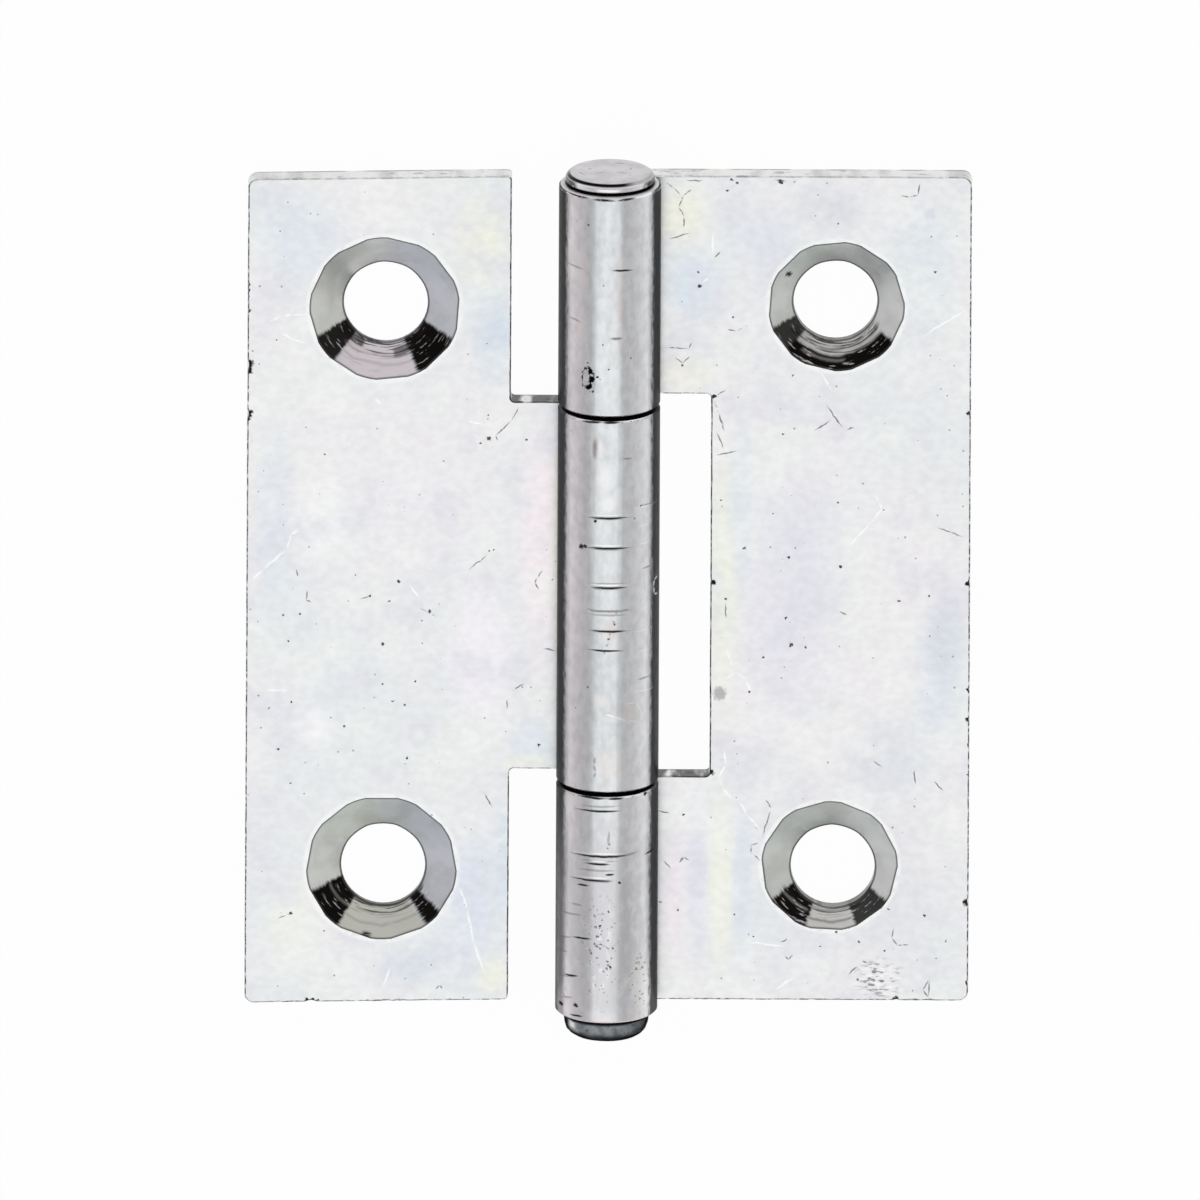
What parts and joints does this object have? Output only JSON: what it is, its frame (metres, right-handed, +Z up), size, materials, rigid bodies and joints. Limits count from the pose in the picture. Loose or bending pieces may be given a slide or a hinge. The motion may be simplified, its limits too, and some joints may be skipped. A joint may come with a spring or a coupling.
{
  "type": "narrow hinge",
  "caption": "Small butt hinge stamped from zinc-plated steel sheet: flat leaves with countersunk screw holes, curled into interleaved knuckles round a riveted pin.",
  "frame": {"origin": "on the plane of the leaves' back faces, under the pin's axis and half way along the leaves", "axes": "+Y along the pin towards its formed head, +Z up out of the countersunk side, +X across towards the leaf with two knuckles"},
  "size_m": [0.0336, 0.0421, 0.0047],
  "materials": {
    "zinc_plated_leaf": "bright zinc plate, satin, with faint iridescent patches",
    "pin_steel": "zinc plate, dark where the tail was riveted"
  },
  "bodies": {
    "fixed_leaf": {"leaf_two_knuckles": "zinc_plated_leaf", "pin": "pin_steel"},
    "swinging_leaf": {"leaf_one_knuckle": "zinc_plated_leaf"}
  },
  "joints": [
    {"name": "pin_swing", "type": "hinge", "parent": "fixed_leaf", "child": "swinging_leaf", "pos_m": [0, 0, 0.00237], "axis": [0, 1, 0], "range_deg": [-124, 187]}
  ]
}
